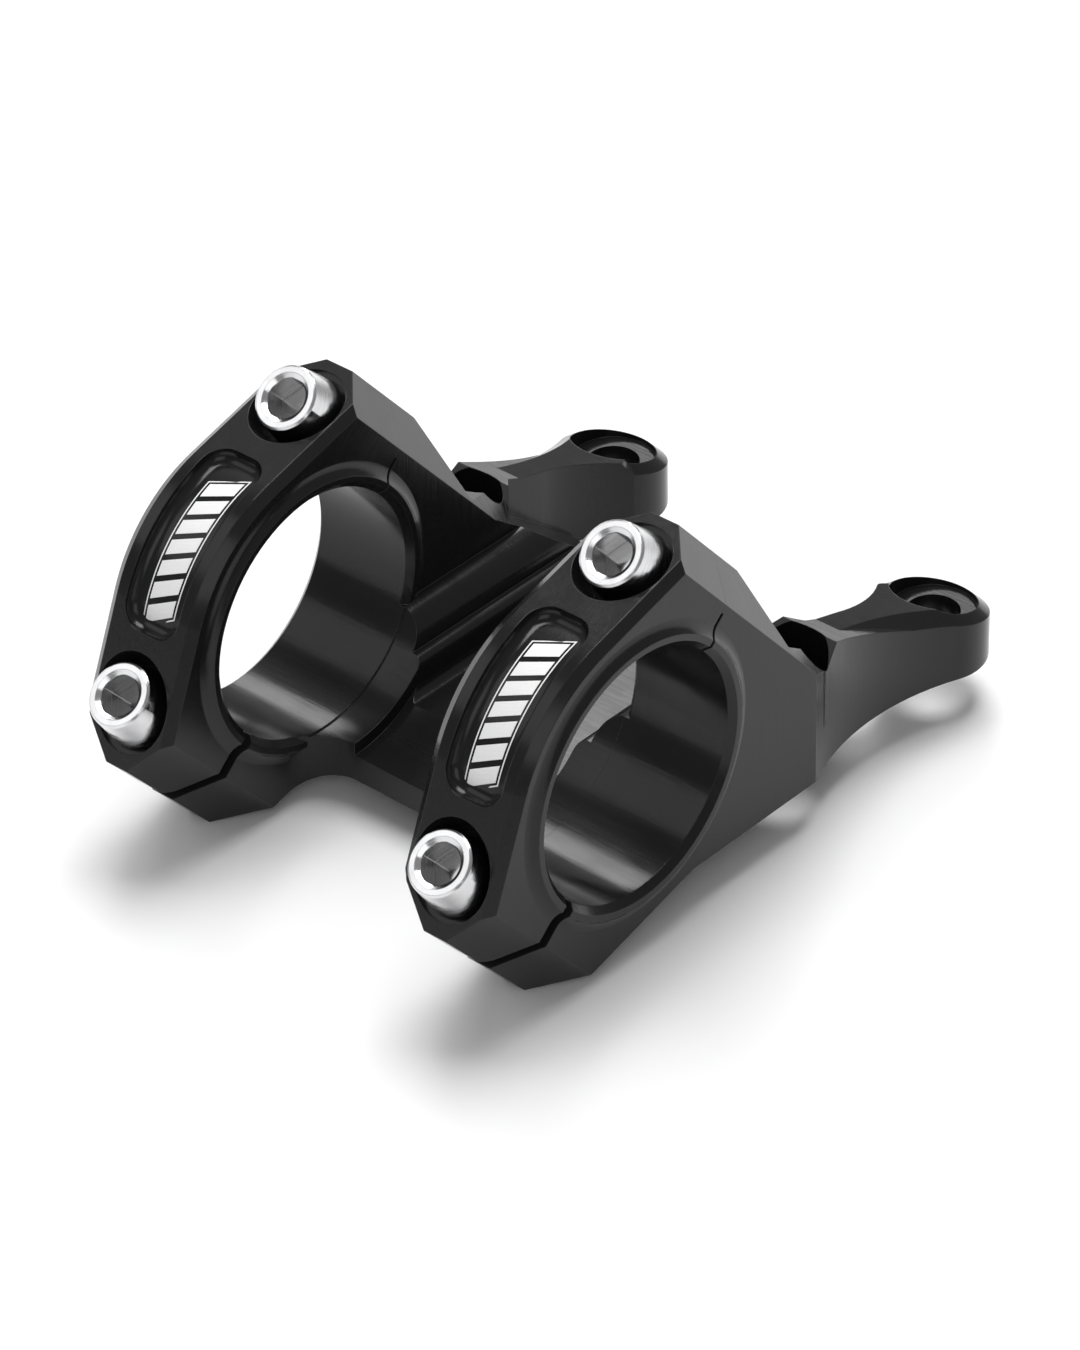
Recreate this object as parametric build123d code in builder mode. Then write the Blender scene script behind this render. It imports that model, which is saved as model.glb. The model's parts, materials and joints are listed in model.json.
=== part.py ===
from build123d import *

import os
from math import cos, radians, sin, sqrt

# Direct-mount handlebar stem: one machined body, two front caps and four cap screws.
#
# Frame: origin at the centre of the four-hole crown pattern, on the mounting plane.
# +X is one end of the handlebar, +Y is rearward, +Z is up. Millimetres.

os.makedirs("parts", exist_ok=True)

# ---- driving dimensions -------------------------------------------------------------

# crown pattern: two inches across, one and one eighth inches fore and aft
PATTERN_ACROSS = 50.8
PATTERN_ALONG = 28.575
CROWN_HOLE_RADIUS = 3.3
CROWN_SCREW_BORE_RADIUS = 5.4
CROWN_SEAT_HEIGHT = 5.9

# handlebar and the two clamps
BAR_RADIUS = 15.9
BAR_Y = -47.6
BAR_Z = 18.8
CAP_ANGLE = 48.4  # how far the caps face down from straight ahead, measured from level
CLAMP_X = 24.85
CLAMP_HALF_WIDTH = 6.83
LIP_HEIGHT = 0.82
LIP_RADIUS = 17.5
LIP_FOOT_RADIUS = 19.1
LIP_FOOT_HOLLOW = (0.24, 0.75)

# clamp outline, in the cap's own axes: n points out of the cap, u runs up along it
SIDE_EDGE_U = 21.7
TOP_END_U = 26.5
BOTTOM_END_U = 26.9
CAP_SPLIT_N = 1.0
LOWER_GAP = 1.7
SEAT_RELIEF = 0.5
SEAT_LAND_U = 20.7
CAP_FRONT_RADIUS = 20.9
CAP_FRONT_SLOPE = 26.5
CAP_EDGE_CHAMFER_X = 1.2
CAP_EDGE_CHAMFER_N = 0.9
CAP_EDGE_FROM_N = 12.5
CAP_TOE_RADIUS = 1.5
TOP_BACK_N = -5.2
CORNER_CUT_DEPTH = 27.5
CUT_START = 4.0
CUT_OVERSHOOT = 8.0

# recess in the front of each cap
RECESS_HALF_WIDTH = 4.2
RECESS_TOP_U = 11.6
RECESS_BOTTOM_U = -12.2
RECESS_DEPTH = 1.5
RECESS_CORNER = 2.8
RECESS_FLOOR_FILLET = 1.3

# cap screws, M6 with a tapered head
SCREW_U = 19.67
SCREW_RADIUS = 2.97
SCREW_PITCH = 1.0
SCREW_LENGTH = 20.0
THREAD_DEPTH = 0.5
THREAD_LENGTH = 13.0
HEAD_SEAT_N = 10.5
HEAD_HEIGHT = 5.95
HEAD_BASE_RADIUS = 4.85
HEAD_TOP_RADIUS = 4.05
HEAD_RIM = 0.25
HEX_ACROSS_FLATS = 5.0
HEX_SIDES = 6
HEX_DEPTH = 3.6
SOCKET_MOUTH_RADIUS = 3.1
SOCKET_MOUTH_DEPTH = 0.45
HEAD_BORE_RADIUS = 5.5
CAP_HOLE_RADIUS = 3.3
BODY_HOLE_RADIUS = 3.05
BODY_HOLE_DEPTH = 14.5

# arms, seen from the side
ARM_CREASE_Y = -5.6
ARM_CREASE_Z = 14.2
ARM_FRONT_FALL = 0.43
ARM_REAR_FALL = 0.285
BACK_FOOT_Y = -19.6
UNDERSIDE_BREAK_Y = -37.8
UNDERSIDE_FALL = 0.26

# arms, seen from above
BOSS_RADIUS = 6.8
ARM_WAIST_OUT = 28.85
ARM_WAIST_IN = 23.3
ARM_WAIST_Y = -1.6
ARM_ROOT_OUT_Y = -15.6
ARM_ROOT_IN_Y = -13.3
ARM_INNER_START_Y = -7.6
ARM_WAIST_IN_MID = (22.35, 5.6)
BOSS_BLEND = 0.45
ARM_EDGE_DROP = 1.5
ARM_EDGE_RUN = 2.1
ARM_TOP_MIN_NORMAL_Z = 0.9

# web between the clamps
WEB_REAR_Y = 0.6
WEB_REAR_Z = 3.6
WEB_REAR_FALL = 0.74
WEB_TOP_Y = -15.5
WEB_REAR_CORNER = 5.0
WEB_FRONT_CORNER = 5.8
WEB_BAR_CLEARANCE = 17.8
LEDGE_BAR_CLEARANCE = 16.1
LEDGE_Z = 8.4
LEDGE_IN_X = 12.3
LEDGE_FILLET = 4.0
CREST_RADIUS = 1.2
TROUGH_Z = 3.7
TROUGH_CORNER = 1.4
OVERLAP = 0.5

# ---- derived values -----------------------------------------------------------------

n_y = -cos(radians(CAP_ANGLE))
n_z = sin(radians(CAP_ANGLE))
lip_half_width = CLAMP_HALF_WIDTH + LIP_HEIGHT
corner_sum = CLAMP_HALF_WIDTH + SIDE_EDGE_U
body_lower_n = CAP_SPLIT_N - LOWER_GAP
boss_x = PATTERN_ACROSS / 2
boss_y = PATTERN_ALONG / 2
inner_x = CLAMP_X - CLAMP_HALF_WIDTH
outer_x = CLAMP_X + CLAMP_HALF_WIDTH
FAR = 80.0
TINY = 0.01
SIDES = {"left": -1, "right": 1}


def bar_point(n, u):
    """Side-view (y, z) of a point given in the cap's own axes."""
    return BAR_Y + n * n_y + u * n_z, BAR_Z + n * n_z - u * n_y


def cap_plane(x):
    """Side view in the cap's axes: local x is n, local y is u."""
    return Plane(origin=(x, BAR_Y, BAR_Z), x_dir=(0, n_y, n_z), z_dir=(-1, 0, 0))


def front_plane(x, n, u):
    """Looking into the cap: local x is X, local y is u, normal is n."""
    y, z = bar_point(n, u)
    return Plane(origin=(x, y, z), x_dir=(1, 0, 0), z_dir=(0, n_y, n_z))


def side_view(x):
    """Side view in the part's axes: local x is Y, local y is Z."""
    return Plane(origin=(x, 0, 0), x_dir=(0, 1, 0), z_dir=(1, 0, 0))


def underside_z(y):
    """Height of the underside: flat at the crown, falling away towards the bar."""
    return UNDERSIDE_FALL * min(0.0, y - UNDERSIDE_BREAK_Y)


def arm_top_z(y):
    """Height of the top of an arm, which falls rearward and eases at the crease."""
    fall = ARM_FRONT_FALL if y < ARM_CREASE_Y else ARM_REAR_FALL
    return ARM_CREASE_Z - fall * (y - ARM_CREASE_Y)


def underside_n(u):
    """Where a line of constant u meets the falling underside."""
    y0, z0 = bar_point(0, u)
    gap = z0 - underside_z(y0)
    return -gap / (n_z - UNDERSIDE_FALL * n_y)


def front_n(u):
    """Front surface of a cap: an arc about the bar, then a tangent flat."""
    slope = radians(CAP_FRONT_SLOPE)
    if abs(u) <= CAP_FRONT_RADIUS * sin(slope):
        return sqrt(CAP_FRONT_RADIUS**2 - u**2)
    return (CAP_FRONT_RADIUS - abs(u) * sin(slope)) / cos(slope)


# ---- tools shared by the body and the caps ------------------------------------------

# the raised lip round the bore, with its inner edge broken and a hollow foot
with BuildPart() as lip_ring:
    with BuildSketch(Plane(origin=(0, BAR_Y, BAR_Z), x_dir=(1, 0, 0), z_dir=(0, 0, 1))):
        with BuildLine():
            Polyline(
                (CLAMP_HALF_WIDTH, LIP_FOOT_RADIUS),
                (0, LIP_FOOT_RADIUS),
                (0, BAR_RADIUS),
                (CLAMP_HALF_WIDTH, BAR_RADIUS),
                (lip_half_width, BAR_RADIUS + LIP_HEIGHT),
                (lip_half_width, LIP_RADIUS),
            )
            ThreePointArc(
                (lip_half_width, LIP_RADIUS),
                (CLAMP_HALF_WIDTH + LIP_FOOT_HOLLOW[0], LIP_RADIUS + LIP_FOOT_HOLLOW[1]),
                (CLAMP_HALF_WIDTH, LIP_FOOT_RADIUS),
            )
        make_face()
    revolve(axis=Axis((0, BAR_Y, BAR_Z), (1, 0, 0)))
    mirror(about=Plane.YZ)

# ---- one side of the body: clamp seat and arm ---------------------------------------

back_top = bar_point(TOP_BACK_N, TOP_END_U)
tip_n = underside_n(-BOTTOM_END_U)

with BuildPart() as side_arm:
    # outline seen from the side
    with BuildSketch(side_view(CLAMP_X)):
        with BuildLine():
            Polyline(
                bar_point(tip_n, -BOTTOM_END_U),
                bar_point(body_lower_n, -BOTTOM_END_U),
                bar_point(body_lower_n, 0),
                bar_point(CAP_SPLIT_N, 0),
                bar_point(CAP_SPLIT_N, TOP_END_U),
                back_top,
                (BACK_FOOT_Y, arm_top_z(BACK_FOOT_Y)),
                (ARM_CREASE_Y, ARM_CREASE_Z),
                (boss_y + FAR / 8, arm_top_z(boss_y + FAR / 8)),
                (boss_y + FAR / 8, 0),
                (UNDERSIDE_BREAK_Y, 0),
                close=True,
            )
        make_face()
    extrude(amount=FAR / 8, both=True)
    # outline seen from above
    with BuildSketch(Plane.XY.offset(-FAR / 4)):
        with BuildLine():
            run_y = boss_y - BOSS_BLEND * BOSS_RADIUS
            run_x = sqrt(BOSS_RADIUS**2 - (run_y - boss_y) ** 2)
            Polyline(
                (ARM_WAIST_IN, ARM_WAIST_Y),
                (ARM_WAIST_IN, ARM_INNER_START_Y),
                (inner_x, ARM_ROOT_IN_Y),
                (inner_x, -FAR),
                (outer_x, -FAR),
                (outer_x, ARM_ROOT_OUT_Y),
            )
            ThreePointArc((outer_x, ARM_ROOT_OUT_Y), (ARM_WAIST_OUT, ARM_WAIST_Y), (boss_x + run_x, run_y))
            ThreePointArc((boss_x + run_x, run_y), (boss_x, boss_y + BOSS_RADIUS), (boss_x - run_x, run_y))
            ThreePointArc((boss_x - run_x, run_y), ARM_WAIST_IN_MID, (ARM_WAIST_IN, ARM_WAIST_Y))
        make_face()
    extrude(amount=FAR, mode=Mode.INTERSECT)
    # broken outer edge along the top of the arm and round the rear boss
    arm_tops = side_arm.faces().filter_by(lambda f: f.normal_at().Z > ARM_TOP_MIN_NORMAL_Z)
    arm_top = arm_tops.sort_by(Axis.Y)[-1]
    rim = arm_top.edges().filter_by(
        lambda e: e.center().X > boss_x + BOSS_RADIUS / 2 or e.center().Y > boss_y + BOSS_RADIUS / 2
    )
    chamfer(rim, ARM_EDGE_RUN, ARM_EDGE_DROP, reference=arm_top)
    # corners of the clamp cut at 45 degrees, parallel to the cap screws
    with BuildSketch(front_plane(CLAMP_X, FAR / 2, 0)):
        for flip in (-1, 1):
            for near_u, far_u in ((SIDE_EDGE_U, TOP_END_U), (-SIDE_EDGE_U, -BOTTOM_END_U)):
                start_u = near_u - CUT_START * near_u / SIDE_EDGE_U
                end_u = far_u + CUT_OVERSHOOT * near_u / SIDE_EDGE_U
                with BuildLine():
                    Polyline(
                        (flip * (corner_sum - abs(start_u)), start_u),
                        (flip * (corner_sum - abs(start_u)), end_u),
                        (flip * (corner_sum - abs(end_u)), end_u),
                        close=True,
                    )
                make_face()
    extrude(amount=-FAR / 2 - CORNER_CUT_DEPTH, mode=Mode.SUBTRACT)

# ---- web between the two sides ------------------------------------------------------

web_top_z = WEB_REAR_Z + WEB_REAR_FALL * (WEB_REAR_Y - WEB_TOP_Y)
web_tail_y = WEB_REAR_Y + WEB_REAR_Z / WEB_REAR_FALL
web_toe_y = BAR_Y - WEB_FRONT_CORNER
web_wide_x = ARM_WAIST_IN + OVERLAP

with BuildPart() as web:
    # seen from the side: the rear end slopes up to the inner corners of the clamps
    with BuildSketch(side_view(0)):
        with BuildLine():
            Polyline(
                (web_toe_y, underside_z(web_toe_y)),
                (UNDERSIDE_BREAK_Y, 0),
                (web_tail_y, 0),
                (WEB_TOP_Y, web_top_z),
                (web_toe_y, web_top_z),
                close=True,
            )
        make_face()
    extrude(amount=web_wide_x, both=True)
    # seen from above: rounded corners against the clamps in front and the arms behind
    with BuildSketch(Plane.XY.offset(-FAR / 4)):
        with BuildLine():
            for side in SIDES.values():
                Line((0, BAR_Y), (side * (inner_x - WEB_FRONT_CORNER), BAR_Y))
                RadiusArc(
                    (side * (inner_x - WEB_FRONT_CORNER), BAR_Y),
                    (side * inner_x, web_toe_y),
                    side * WEB_FRONT_CORNER,
                )
                Polyline(
                    (side * inner_x, web_toe_y),
                    (side * web_wide_x, web_toe_y),
                    (side * web_wide_x, WEB_REAR_Y + WEB_REAR_CORNER),
                    (side * ARM_WAIST_IN, WEB_REAR_Y + WEB_REAR_CORNER),
                )
                RadiusArc(
                    (side * ARM_WAIST_IN, WEB_REAR_Y + WEB_REAR_CORNER),
                    (side * (ARM_WAIST_IN - WEB_REAR_CORNER), WEB_REAR_Y),
                    side * WEB_REAR_CORNER,
                )
                Line((side * (ARM_WAIST_IN - WEB_REAR_CORNER), WEB_REAR_Y), (0, WEB_REAR_Y))
        make_face()
    extrude(amount=FAR, mode=Mode.INTERSECT)
    # the trough: a stepped channel open to the front and to the rear
    with BuildSketch(Plane(origin=(0, -FAR, 0), x_dir=(-1, 0, 0), z_dir=(0, 1, 0))):
        with BuildLine():
            Polyline(
                (inner_x - LEDGE_FILLET, LEDGE_Z),
                (LEDGE_IN_X, LEDGE_Z),
                (LEDGE_IN_X, TROUGH_Z),
                (-LEDGE_IN_X, TROUGH_Z),
                (-LEDGE_IN_X, LEDGE_Z),
                (LEDGE_FILLET - inner_x, LEDGE_Z),
            )
            RadiusArc((LEDGE_FILLET - inner_x, LEDGE_Z), (-inner_x, LEDGE_Z + LEDGE_FILLET), -LEDGE_FILLET)
            Polyline(
                (-inner_x, LEDGE_Z + LEDGE_FILLET),
                (-inner_x, FAR / 2),
                (inner_x, FAR / 2),
                (inner_x, LEDGE_Z + LEDGE_FILLET),
            )
            RadiusArc((inner_x, LEDGE_Z + LEDGE_FILLET), (inner_x - LEDGE_FILLET, LEDGE_Z), -LEDGE_FILLET)
        make_face()
    extrude(amount=2 * FAR, mode=Mode.SUBTRACT)
    crests = web.edges().filter_by(Axis.Y).filter_by(lambda e: abs(e.center().Z - LEDGE_Z) < TINY)
    crests = crests.filter_by(lambda e: abs(abs(e.center().X) - LEDGE_IN_X) < TINY)
    fillet(crests, CREST_RADIUS)
    toes = web.edges().filter_by(Axis.Y).filter_by(lambda e: abs(e.center().Z - TROUGH_Z) < TINY)
    fillet(toes, TROUGH_CORNER)

# ---- stem body ----------------------------------------------------------------------

# everything in front of the parting line, with its small step between cap and body
with BuildPart() as front_side:
    with BuildSketch(cap_plane(0)):
        with BuildLine():
            Polyline(
                (FAR, -FAR),
                (body_lower_n, -FAR),
                (body_lower_n, 0),
                (CAP_SPLIT_N - SEAT_RELIEF, 0),
                (CAP_SPLIT_N - SEAT_RELIEF, SEAT_LAND_U),
                (CAP_SPLIT_N, SEAT_LAND_U),
                (CAP_SPLIT_N, FAR),
                (FAR, FAR),
                close=True,
            )
        make_face()
    extrude(amount=FAR, both=True)

with BuildPart() as stem_body:
    add(side_arm.part)
    mirror(about=Plane.YZ)
    add(web.part)
    for side in SIDES.values():
        add(lip_ring.part.moved(Location((side * CLAMP_X, 0, 0))))
    add(front_side.part, mode=Mode.SUBTRACT)
    # the bar's bore, eased past the ledges and again across the open middle of the web
    lip_inner_x = inner_x - LIP_HEIGHT
    bore_steps = ((BAR_RADIUS, FAR), (LEDGE_BAR_CLEARANCE, lip_inner_x), (WEB_BAR_CLEARANCE, LEDGE_IN_X))
    for radius, reach in bore_steps:
        with BuildSketch(cap_plane(0)):
            Circle(radius)
        extrude(amount=reach, both=True, mode=Mode.SUBTRACT)
    # crown screw holes
    with Locations(Plane.XY.offset(CROWN_SEAT_HEIGHT)):
        with GridLocations(PATTERN_ACROSS, PATTERN_ALONG, 2, 2):
            Cylinder(
                CROWN_SCREW_BORE_RADIUS,
                FAR / 4,
                align=(Align.CENTER, Align.CENTER, Align.MIN),
                mode=Mode.SUBTRACT,
            )
            Cylinder(CROWN_HOLE_RADIUS, FAR / 4, mode=Mode.SUBTRACT)
    # tapped holes for the cap screws
    for side in SIDES.values():
        with BuildSketch(front_plane(side * CLAMP_X, CAP_SPLIT_N, 0)):
            with Locations((0, SCREW_U), (0, -SCREW_U)):
                Circle(BODY_HOLE_RADIUS)
        extrude(amount=-BODY_HOLE_DEPTH - CAP_SPLIT_N, mode=Mode.SUBTRACT)
stem_body.part.label = "stem_body"
export_step(stem_body.part, "parts/stem_body.step")

# ---- caps ---------------------------------------------------------------------------


# the part of the lip that belongs to a cap
with BuildPart() as cap_lip:
    add(lip_ring.part)
    with BuildSketch(cap_plane(0)):
        with Locations((CAP_SPLIT_N + FAR / 2, 0)):
            Rectangle(FAR, FAR)
    extrude(amount=FAR, both=True, mode=Mode.INTERSECT)

# the recess in the front of a cap: rounded walls and a floor that follows the bar
with BuildPart() as recess_tool:
    recess_mid_u = (RECESS_TOP_U + RECESS_BOTTOM_U) / 2
    with BuildSketch(front_plane(0, CAP_FRONT_RADIUS + RECESS_DEPTH, 0)):
        with Locations((0, recess_mid_u)):
            RectangleRounded(2 * RECESS_HALF_WIDTH, RECESS_TOP_U - RECESS_BOTTOM_U, RECESS_CORNER)
    extrude(amount=-CAP_FRONT_RADIUS / 2)
    with BuildSketch(cap_plane(0)):
        Circle(CAP_FRONT_RADIUS - RECESS_DEPTH)
    extrude(amount=FAR, both=True, mode=Mode.SUBTRACT)
    recess_floor = recess_tool.faces().filter_by(GeomType.CYLINDER).sort_by(SortBy.AREA)[-1]
    fillet(recess_floor.edges(), RECESS_FLOOR_FILLET)


def make_cap(name, side):
    """One front cap, clamped to the body by two screws."""
    x = side * CLAMP_X
    slope = radians(CAP_FRONT_SLOPE)
    arc_u = CAP_FRONT_RADIUS * sin(slope)
    bar_centre = Vector(x, BAR_Y, BAR_Z)
    out_of_cap = Vector(0, n_y, n_z)
    with BuildPart() as cap:
        with BuildSketch(cap_plane(x)):
            with BuildLine():
                Polyline(
                    (front_n(arc_u), arc_u),
                    (front_n(TOP_END_U), TOP_END_U),
                    (CAP_SPLIT_N, TOP_END_U),
                    (CAP_SPLIT_N, -BOTTOM_END_U),
                    (front_n(-BOTTOM_END_U), -BOTTOM_END_U),
                    (front_n(-arc_u), -arc_u),
                )
                ThreePointArc((front_n(-arc_u), -arc_u), (CAP_FRONT_RADIUS, 0), (front_n(arc_u), arc_u))
            make_face()
        extrude(amount=CLAMP_HALF_WIDTH, both=True)
        toe_y, toe_z = bar_point(CAP_SPLIT_N, -BOTTOM_END_U)
        toe = cap.edges().filter_by(Axis.X).sort_by_distance((x, toe_y, toe_z))[0]
        fillet(toe, CAP_TOE_RADIUS)
        # broken front edges along both side faces
        sides = cap.faces().filter_by(Axis.X)
        for face in sides:
            front_edges = face.edges().filter_by(
                lambda e: (e.center() - bar_centre).dot(out_of_cap) > CAP_EDGE_FROM_N
            )
            chamfer(front_edges, CAP_EDGE_CHAMFER_N, CAP_EDGE_CHAMFER_X, reference=face)
        # corners cut at 45 degrees
        with BuildSketch(front_plane(x, 0, 0)):
            with BuildLine():
                Polyline(
                    (CLAMP_HALF_WIDTH, SIDE_EDGE_U),
                    (corner_sum - TOP_END_U, TOP_END_U),
                    (TOP_END_U - corner_sum, TOP_END_U),
                    (-CLAMP_HALF_WIDTH, SIDE_EDGE_U),
                    (-CLAMP_HALF_WIDTH, -SIDE_EDGE_U),
                    (BOTTOM_END_U - corner_sum, -BOTTOM_END_U),
                    (corner_sum - BOTTOM_END_U, -BOTTOM_END_U),
                    (CLAMP_HALF_WIDTH, -SIDE_EDGE_U),
                    close=True,
                )
            make_face()
        extrude(amount=FAR / 2, mode=Mode.INTERSECT)
        add(cap_lip.part.moved(Location((x, 0, 0))))
        with BuildSketch(cap_plane(x)):
            Circle(BAR_RADIUS)
        extrude(amount=FAR / 4, both=True, mode=Mode.SUBTRACT)
        add(recess_tool.part.moved(Location((x, 0, 0))), mode=Mode.SUBTRACT)
        # screw holes and the pockets for the screw heads
        for u in (SCREW_U, -SCREW_U):
            with BuildSketch(front_plane(x, HEAD_SEAT_N, u)):
                Circle(HEAD_BORE_RADIUS)
            extrude(amount=FAR / 4, mode=Mode.SUBTRACT)
            with BuildSketch(front_plane(x, HEAD_SEAT_N, u)):
                Circle(CAP_HOLE_RADIUS)
            extrude(amount=-FAR / 4, mode=Mode.SUBTRACT)
    cap.part.label = name
    return cap.part


for cap_name, cap_side in SIDES.items():
    cap_part = make_cap(f"{cap_name}_cap", cap_side)
    export_step(cap_part, f"parts/{cap_name}_cap.step")

# ---- cap screws ---------------------------------------------------------------------


def make_screw(name, side, u):
    """An M6 socket screw with a tapered head, standing along the cap's n axis."""
    x = side * CLAMP_X
    root = SCREW_RADIUS - THREAD_DEPTH
    thread_turns = int(THREAD_LENGTH / SCREW_PITCH)
    with BuildPart() as screw:
        # turned profile: local x is the radius, local y is the height above the head's seat
        seat_y, seat_z = bar_point(HEAD_SEAT_N, u)
        turning = Plane(origin=(x, seat_y, seat_z), x_dir=(1, 0, 0), z_dir=(0, -n_z, n_y))
        with BuildSketch(turning):
            with BuildLine():
                outline = [
                    (0, HEAD_HEIGHT - SOCKET_MOUTH_DEPTH),
                    (HEX_ACROSS_FLATS / 2, HEAD_HEIGHT - SOCKET_MOUTH_DEPTH),
                    (SOCKET_MOUTH_RADIUS, HEAD_HEIGHT),
                    (HEAD_TOP_RADIUS - HEAD_RIM, HEAD_HEIGHT),
                    (HEAD_TOP_RADIUS, HEAD_HEIGHT - HEAD_RIM),
                    (HEAD_BASE_RADIUS, HEAD_RIM),
                    (HEAD_BASE_RADIUS - HEAD_RIM, 0),
                    (SCREW_RADIUS, 0),
                ]
                start = THREAD_LENGTH - SCREW_LENGTH
                for turn in range(thread_turns):
                    crest = start - turn * SCREW_PITCH
                    outline.append((SCREW_RADIUS, crest))
                    outline.append((root, crest - SCREW_PITCH / 2))
                outline.append((SCREW_RADIUS - THREAD_DEPTH, -SCREW_LENGTH))
                outline.append((0, -SCREW_LENGTH))
                Polyline(*outline, close=True)
            make_face()
        revolve(axis=Axis(turning.origin, turning.y_dir))
        # hexagon socket below a coned mouth
        with BuildSketch(front_plane(x, HEAD_SEAT_N + HEAD_HEIGHT - SOCKET_MOUTH_DEPTH, u)):
            RegularPolygon(HEX_ACROSS_FLATS / 2, HEX_SIDES, major_radius=False)
        extrude(amount=-HEX_DEPTH, mode=Mode.SUBTRACT)
    screw.part.label = name
    return screw.part


for screw_side_name, screw_side in SIDES.items():
    for level, screw_u in (("upper", SCREW_U), ("lower", -SCREW_U)):
        screw_name = f"{screw_side_name}_{level}_screw"
        export_step(make_screw(screw_name, screw_side, screw_u), f"parts/{screw_name}.step")
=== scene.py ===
"""Looks, floor, lights and camera for the direct-mount handlebar stem."""

import json
import math

import bmesh
import bpy
from mathutils import Matrix, Vector


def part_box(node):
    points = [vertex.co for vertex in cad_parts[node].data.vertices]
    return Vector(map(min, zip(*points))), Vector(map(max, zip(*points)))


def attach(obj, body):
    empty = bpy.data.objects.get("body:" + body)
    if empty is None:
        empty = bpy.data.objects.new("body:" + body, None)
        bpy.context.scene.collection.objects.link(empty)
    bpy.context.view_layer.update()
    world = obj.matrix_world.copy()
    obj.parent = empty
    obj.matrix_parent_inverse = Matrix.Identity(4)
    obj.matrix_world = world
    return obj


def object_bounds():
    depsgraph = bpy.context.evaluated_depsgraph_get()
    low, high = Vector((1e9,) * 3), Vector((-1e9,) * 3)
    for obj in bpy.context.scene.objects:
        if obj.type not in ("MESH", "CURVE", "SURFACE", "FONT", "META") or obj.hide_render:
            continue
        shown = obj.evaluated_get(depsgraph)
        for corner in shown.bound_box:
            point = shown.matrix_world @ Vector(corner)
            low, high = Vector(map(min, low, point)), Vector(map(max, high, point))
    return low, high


MM = 0.001

# the camera stands in front, to the right and above, and looks at the middle of the stem
CAMERA_AZIMUTH = 42.0
CAMERA_ELEVATION = 35.3
CAMERA_ROLL = -1.1
CAMERA_DISTANCE = 735.2 * MM
CAMERA_LENS = 166.7
CAMERA_SENSOR = 36
CAMERA_AIM = Vector((1.5, -30.0, 9.4)) * MM

# the cap's own axes at rest: out of the cap, and up along it
CAP_ANGLE = math.radians(48.4)
CAP_TILT = CAP_ANGLE - math.pi / 2
CAP_OUT = Vector((0, -math.cos(CAP_ANGLE), math.sin(CAP_ANGLE)))
CAP_UP = Vector((0, math.sin(CAP_ANGLE), math.cos(CAP_ANGLE)))

# the room: a bright patch high behind and to the left, dimmer elsewhere
WALL_DIRECTION = (-0.55, 0.50, 0.67)
WALL_EDGE = 0.88
ROOM_DIM = 0.28
ROOM_BRIGHT = 0.9
FLOOR_SIZE = 6.0

# softboxes, all aimed at the origin: name, place and side in metres, power in watts
SOFTBOXES = (
    ("front_softbox", (-0.75, -0.70, 0.90), 0.70, 1.7),
    ("fill_softbox", (0.75, -0.95, 0.75), 0.80, 2.6),
    ("wall_softbox", (-0.78, 0.74, 0.98), 0.45, 3.8),
    ("top_softbox", (-0.15, 0.30, 1.35), 0.80, 16),
)

# the dyed oxide layer mirrors less than bare metal does
ANODISED_IOR = 1.35
DYE_DEEP = (0.0075, 0.0075, 0.0077)
DYE_LIGHT = (0.0120, 0.0120, 0.0123)
# paler edge colour: partly real wear, partly a painted highlight along every edge
WORN_AND_HIGHLIGHT_EDGE = (0.045, 0.045, 0.047)
ANODISED_ROUGHNESS = (0.13, 0.21)
HAZE_ROUGHNESS = (-0.02, 0.03)
MARK_STRENGTH = 0.40

# bright turned steel, with shade painted into its colour inside the sockets
STEEL_STAINED = (0.60, 0.60, 0.61)
STEEL_CLEAN = (0.80, 0.80, 0.81)
# painted shade: the colour used where the socket is closed in
SOCKET_PAINTED_SHADE = (0.52, 0.52, 0.52)
STEEL_ROUGHNESS = (0.10, 0.26)
RING_STRENGTH = 0.3
SOCKET_REACH = 5 * MM
SOCKET_SHADE = (0.25, 0.8)
SOCKET_SAMPLES = 8

# how often the pattern repeats per millimetre along each axis
EVEN = (1, 1, 1)
BODY_MARKS = (0.2, 3.2, 0.12)
CAP_MARKS = (3.2, 0.12, 2.6)
SCREW_RINGS = (0.2, 0.2, 7.0)
NOISE_MIDDLE = (0.3, 0.7)

# white print and pale floor
PRINT_COLOURS = ((0.82, 0.82, 0.82), (0.93, 0.93, 0.93))
PRINT_ROUGHNESS = 0.5
FLOOR_COLOURS = ((0.93, 0.93, 0.93), (0.95, 0.95, 0.95))
FLOOR_ROUGHNESS = 0.8

# relief height, and how far an edge is eased
RELIEF = 0.02 * MM
EDGE_EASE = 0.16 * MM
EDGE_SAMPLES = 4
EDGE_AGREEMENT = (0.75, 0.99)

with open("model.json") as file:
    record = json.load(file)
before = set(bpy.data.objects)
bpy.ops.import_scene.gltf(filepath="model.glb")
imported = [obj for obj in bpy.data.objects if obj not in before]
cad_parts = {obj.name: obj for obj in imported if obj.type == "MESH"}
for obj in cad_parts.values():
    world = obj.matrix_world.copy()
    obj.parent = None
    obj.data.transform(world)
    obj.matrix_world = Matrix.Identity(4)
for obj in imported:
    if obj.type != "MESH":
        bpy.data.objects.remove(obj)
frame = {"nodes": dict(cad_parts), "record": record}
cad_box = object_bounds()


# ---- node helpers -------------------------------------------------------------------


def new_material(name):
    """An empty node material with a Principled surface, its nodes and links."""
    material = bpy.data.materials.new(name)
    material.use_nodes = True
    nodes = material.node_tree.nodes
    links = material.node_tree.links
    shader = next(node for node in nodes if node.type == "BSDF_PRINCIPLED")
    return material, nodes, links, shader


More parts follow.
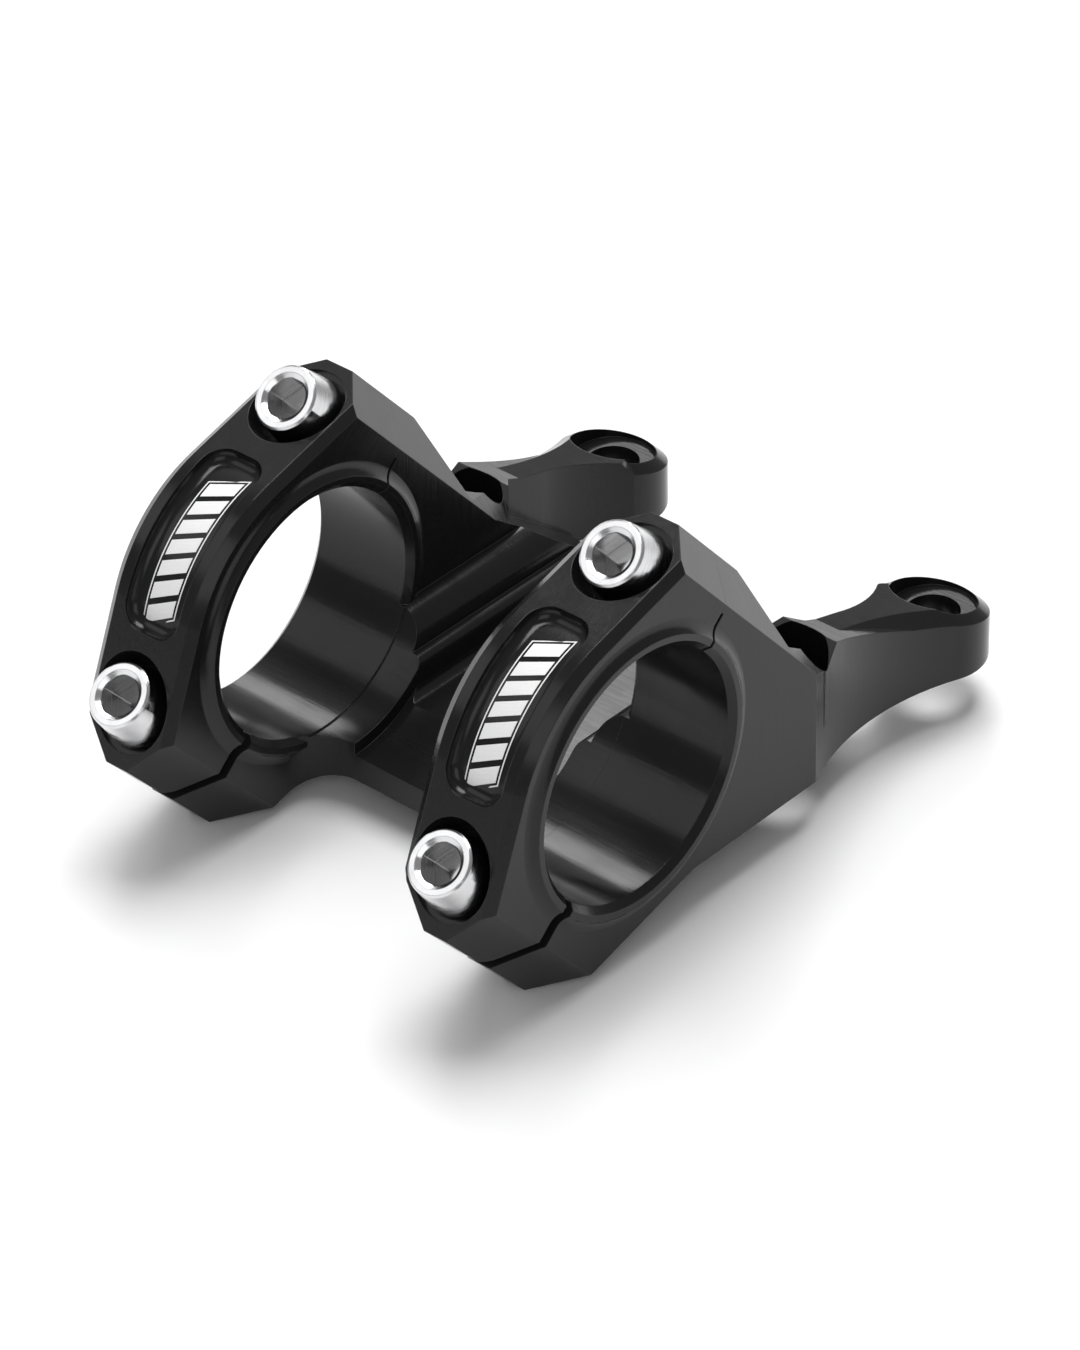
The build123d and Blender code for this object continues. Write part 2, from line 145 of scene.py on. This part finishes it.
def object_coordinates(nodes, links, scale, tilt=0.0):
    """Object-space coordinates in millimetres, turned about X and then stretched."""
    coordinates = nodes.new("ShaderNodeTexCoord")
    turn = nodes.new("ShaderNodeMapping")
    turn.inputs["Rotation"].default_value = (tilt, 0, 0)
    stretch = nodes.new("ShaderNodeMapping")
    stretch.inputs["Scale"].default_value = [part / MM for part in scale]
    links.new(coordinates.outputs["Object"], turn.inputs["Vector"])
    links.new(turn.outputs["Vector"], stretch.inputs["Vector"])
    return stretch.outputs["Vector"]


def noise(nodes, links, vector, scale, detail=3.0, roughness=0.5):
    """The value of a noise texture."""
    texture = nodes.new("ShaderNodeTexNoise")
    texture.inputs["Scale"].default_value = scale
    texture.inputs["Detail"].default_value = detail
    texture.inputs["Roughness"].default_value = roughness
    links.new(vector, texture.inputs["Vector"])
    return texture.outputs["Fac"]


def remap(nodes, links, value, source, target):
    """A value moved from one range to another, and clamped there."""
    node = nodes.new("ShaderNodeMapRange")
    node.inputs["From Min"].default_value, node.inputs["From Max"].default_value = source
    node.inputs["To Min"].default_value, node.inputs["To Max"].default_value = target
    links.new(value, node.inputs["Value"])
    return node.outputs["Result"]


def set_colour(links, socket, colour):
    """Puts a fixed colour, or another node's output, on a colour socket."""
    if isinstance(colour, tuple):
        socket.default_value = (*colour, 1)
    else:
        links.new(colour, socket)


def mix(nodes, links, factor, low, high):
    """A colour between two colours, each fixed or from another node."""
    node = nodes.new("ShaderNodeMix")
    node.data_type = "RGBA"
    links.new(factor, node.inputs["Factor"])
    set_colour(links, node.inputs["A"], low)
    set_colour(links, node.inputs["B"], high)
    return node.outputs["Result"]


def eased_edges(nodes, links):
    """The surface normal with its edges rounded off, and a mask of those edges."""
    eased = nodes.new("ShaderNodeBevel")
    eased.samples = EDGE_SAMPLES
    eased.inputs["Radius"].default_value = EDGE_EASE
    geometry = nodes.new("ShaderNodeNewGeometry")
    agreement = nodes.new("ShaderNodeVectorMath")
    agreement.operation = "DOT_PRODUCT"
    links.new(eased.outputs["Normal"], agreement.inputs[0])
    links.new(geometry.outputs["Normal"], agreement.inputs[1])
    mask = remap(nodes, links, agreement.outputs["Value"], EDGE_AGREEMENT, (1.0, 0.0))
    return eased.outputs["Normal"], mask


def bump(nodes, links, shader, height, strength, normal):
    """Small relief on a surface whose edges are already eased."""
    node = nodes.new("ShaderNodeBump")
    node.inputs["Strength"].default_value = strength
    node.inputs["Distance"].default_value = RELIEF
    links.new(height, node.inputs["Height"])
    links.new(normal, node.inputs["Normal"])
    links.new(node.outputs["Normal"], shader.inputs["Normal"])


# ---- materials ----------------------------------------------------------------------


def anodised_black(name, mark_scale, tilt):
    """Black anodised aluminium: cutter marks, a fine grain, and edges a little paler, partly wear
    and partly painted highlight.
    """
    material, nodes, links, shader = new_material(name)
    marks = noise(nodes, links, object_coordinates(nodes, links, mark_scale, tilt), 1.0, 2.0)
    grain = noise(nodes, links, object_coordinates(nodes, links, EVEN), 7.0, 3.0, 0.6)
    haze = noise(nodes, links, object_coordinates(nodes, links, EVEN), 0.15, 2.0)
    normal, edge = eased_edges(nodes, links)
    dyed = mix(nodes, links, grain, DYE_DEEP, DYE_LIGHT)
    # edges painted paler: partly wear, partly painted highlight
    links.new(mix(nodes, links, edge, dyed, WORN_AND_HIGHLIGHT_EDGE), shader.inputs["Base Color"])
    roughness = nodes.new("ShaderNodeMath")
    roughness.operation = "ADD"
    cut = remap(nodes, links, marks, NOISE_MIDDLE, ANODISED_ROUGHNESS)
    cloud = remap(nodes, links, haze, (0.35, 0.65), HAZE_ROUGHNESS)
    links.new(cut, roughness.inputs[0])
    links.new(cloud, roughness.inputs[1])
    links.new(roughness.outputs["Value"], shader.inputs["Roughness"])
    shader.inputs["IOR"].default_value = ANODISED_IOR
    bump(nodes, links, shader, marks, MARK_STRENGTH, normal)
    return material


def turned_steel(name):
    """Bright turned steel: fine rings round the screw, small stains, and shade painted into the
    socket colour.
    """
    material, nodes, links, shader = new_material(name)
    rings = noise(nodes, links, object_coordinates(nodes, links, SCREW_RINGS, CAP_TILT), 1.0, 2.0)
    stain = noise(nodes, links, object_coordinates(nodes, links, EVEN), 0.6, 4.0, 0.6)
    normal, _ = eased_edges(nodes, links)
    clean = mix(nodes, links, stain, STEEL_STAINED, STEEL_CLEAN)
    # painted shade: ambient occlusion darkens the base colour deep in the socket
    depth = nodes.new("ShaderNodeAmbientOcclusion")
    depth.inputs["Distance"].default_value = SOCKET_REACH
    depth.samples = SOCKET_SAMPLES
    openness = remap(nodes, links, depth.outputs["AO"], SOCKET_SHADE, (0.0, 1.0))
    links.new(mix(nodes, links, openness, SOCKET_PAINTED_SHADE, clean), shader.inputs["Base Color"])
    roughness = remap(nodes, links, rings, NOISE_MIDDLE, STEEL_ROUGHNESS)
    links.new(roughness, shader.inputs["Roughness"])
    shader.inputs["Metallic"].default_value = 1.0
    bump(nodes, links, shader, rings, RING_STRENGTH, normal)
    return material


def white_print(name):
    """Flat white print, slightly uneven."""
    material, nodes, links, shader = new_material(name)
    grain = noise(nodes, links, object_coordinates(nodes, links, EVEN), 6.0, 3.0)
    links.new(mix(nodes, links, grain, *PRINT_COLOURS), shader.inputs["Base Color"])
    shader.inputs["Roughness"].default_value = PRINT_ROUGHNESS
    return material


def pale_floor(name):
    """A seamless pale studio sheet."""
    material, nodes, links, shader = new_material(name)
    grain = noise(nodes, links, object_coordinates(nodes, links, EVEN), 0.02, 2.0)
    links.new(mix(nodes, links, grain, *FLOOR_COLOURS), shader.inputs["Base Color"])
    shader.inputs["Roughness"].default_value = FLOOR_ROUGHNESS
    return material


def wear(obj, material):
    """Gives a carried-over part its material."""
    obj.data.materials.clear()
    obj.data.materials.append(material)


body_black = anodised_black("body_black", BODY_MARKS, 0.0)
cap_black = anodised_black("cap_black", CAP_MARKS, CAP_TILT)
steel = turned_steel("screw_steel")
for node_name, node_object in frame["nodes"].items():
    if "screw" in node_name:
        wear(node_object, steel)
    elif "cap" in node_name:
        wear(node_object, cap_black)
    else:
        wear(node_object, body_black)


# ---- printed motif in the recess of each cap ------------------------------------------

# recess floor radius about the bar axis, and the motif that lies on it
RECESS_FLOOR_RADIUS = 19.4 * MM
PRINT_THICKNESS = 0.03 * MM
BAR_PITCH = 2.6 * MM
BAR_LENGTH = 1.85 * MM
BAR_COUNT = 7
MOTIF_START = -9.9 * MM
MOTIF_HALF_WIDTH = 1.9 * MM
MOTIF_SLANT = 0.9 * MM
OUTLINE_GAP = 0.28 * MM
OUTLINE_WIDTH = 0.16 * MM
mounts = {mount["name"]: mount for mount in frame["record"]["mounts"]}
BAR_AXIS = Vector((0, *mounts["left_bar_clamp"]["pos_m"][1:]))


def on_recess(across, along, lift):
    """Point at a place on the recess floor: across the cap, along it, and above the floor."""
    radius = RECESS_FLOOR_RADIUS + lift
    out = math.sqrt(radius * radius - along * along)
    return BAR_AXIS + CAP_OUT * out + CAP_UP * along + Vector((across, 0, 0))


def add_patch(mesh, centre_x, corners, steps):
    """A thin printed patch: two sides, each a line of (across, along) from end to end."""
    (a0, a1), (b0, b1) = corners
    rings = []
    for step in range(steps + 1):
        part = step / steps
        left = (a0[0] + (a1[0] - a0[0]) * part, a0[1] + (a1[1] - a0[1]) * part)
        right = (b0[0] + (b1[0] - b0[0]) * part, b0[1] + (b1[1] - b0[1]) * part)
        shift = Vector((centre_x, 0, 0))
        rings.append([
            mesh.verts.new(on_recess(*left, 0) + shift),
            mesh.verts.new(on_recess(*right, 0) + shift),
            mesh.verts.new(on_recess(*right, PRINT_THICKNESS) + shift),
            mesh.verts.new(on_recess(*left, PRINT_THICKNESS) + shift),
        ])
    for near, far in zip(rings, rings[1:]):
        for side in range(4):
            mesh.faces.new((near[side], near[(side + 1) % 4], far[(side + 1) % 4], far[side]))
    mesh.faces.new(rings[0][::-1])
    mesh.faces.new(rings[-1])


def slanted(across, along):
    """A motif point with the motif's slant applied."""
    return across, along + MOTIF_SLANT * across / MOTIF_HALF_WIDTH


def make_motif(name, body, material):
    """A row of slanted bars inside a thin slanted outline."""
    low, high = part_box(body)
    centre_x = (low[0] + high[0]) / 2
    mesh = bmesh.new()
    half = MOTIF_HALF_WIDTH
    for index in range(BAR_COUNT):
        start = MOTIF_START + index * BAR_PITCH
        end = start + BAR_LENGTH
        add_patch(mesh, centre_x, (
            (slanted(-half, start), slanted(-half, end)),
            (slanted(half, start), slanted(half, end)),
        ), 4)
    start = MOTIF_START - OUTLINE_GAP
    end = MOTIF_START + (BAR_COUNT - 1) * BAR_PITCH + BAR_LENGTH + OUTLINE_GAP
    inner = half + OUTLINE_GAP
    outer = inner + OUTLINE_WIDTH
    for side in (-1, 1):
        add_patch(mesh, centre_x, (
            (slanted(side * inner, start), slanted(side * inner, end)),
            (slanted(side * outer, start), slanted(side * outer, end)),
        ), 24)
    for edge in (start - OUTLINE_WIDTH, end):
        add_patch(mesh, centre_x, (
            (slanted(-outer, edge), slanted(-outer, edge + OUTLINE_WIDTH)),
            (slanted(outer, edge), slanted(outer, edge + OUTLINE_WIDTH)),
        ), 1)
    bmesh.ops.recalc_face_normals(mesh, faces=mesh.faces)
    data = bpy.data.meshes.new(name)
    mesh.to_mesh(data)
    mesh.free()
    motif = bpy.data.objects.new(name, data)
    bpy.context.scene.collection.objects.link(motif)
    motif.data.materials.append(material)
    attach(motif, body)


mark_white = white_print("mark_white")
make_motif("left_cap_motif", "left_cap", mark_white)
make_motif("right_cap_motif", "right_cap", mark_white)


# ---- floor, light and camera --------------------------------------------------------


def make_floor():
    """A large level sheet at the lowest point of the stem."""
    low, high = cad_box
    bpy.ops.mesh.primitive_plane_add(size=FLOOR_SIZE, location=(0, 0, low[2]))
    floor = bpy.context.object
    floor.name = "studio_floor"
    floor.data.materials.append(pale_floor("studio_sheet"))


def soft_light(name, place, size, power):
    """One large square softbox, aimed at the origin."""
    data = bpy.data.lights.new(name, "AREA")
    data.shape = "SQUARE"
    data.size = size
    data.energy = power
    light = bpy.data.objects.new(name, data)
    light.location = place
    light.rotation_euler = (-Vector(place)).to_track_quat("-Z", "Y").to_euler()
    bpy.context.scene.collection.objects.link(light)


def make_lights():
    """A pale room with a bright patch high behind the stem, and the softboxes."""
    world = bpy.data.worlds.new("pale_room")
    world.use_nodes = True
    nodes = world.node_tree.nodes
    links = world.node_tree.links
    direction = nodes.new("ShaderNodeTexCoord")
    towards = nodes.new("ShaderNodeVectorMath")
    towards.operation = "DOT_PRODUCT"
    towards.inputs[1].default_value = WALL_DIRECTION
    links.new(direction.outputs["Generated"], towards.inputs[0])
    glow = remap(nodes, links, towards.outputs["Value"], (WALL_EDGE, 1.0), (ROOM_DIM, ROOM_BRIGHT))
    links.new(glow, nodes["Background"].inputs["Strength"])
    nodes["Background"].inputs["Color"].default_value = (1, 1, 1, 1)
    bpy.context.scene.world = world
    for box in SOFTBOXES:
        soft_light(*box)


def make_camera():
    """A long lens at the viewing angle."""
    azimuth = math.radians(CAMERA_AZIMUTH)
    elevation = math.radians(CAMERA_ELEVATION)
    level = math.cos(elevation)
    forward = Vector((-math.sin(azimuth) * level, math.cos(azimuth) * level, -math.sin(elevation)))
    right = forward.cross(Vector((0, 0, 1))).normalized()
    up = right.cross(forward)
    roll = Matrix.Rotation(math.radians(CAMERA_ROLL), 3, "Z")
    turn = Matrix((right, up, -forward)).transposed() @ roll
    data = bpy.data.cameras.new("camera")
    data.lens = CAMERA_LENS
    data.sensor_width = CAMERA_SENSOR
    camera = bpy.data.objects.new("camera", data)
    camera.matrix_world = Matrix.Translation(CAMERA_AIM - forward * CAMERA_DISTANCE) @ turn.to_4x4()
    bpy.context.scene.collection.objects.link(camera)
    bpy.context.scene.camera = camera


make_floor()
make_lights()
make_camera()
bpy.context.scene.view_settings.view_transform = "Standard"
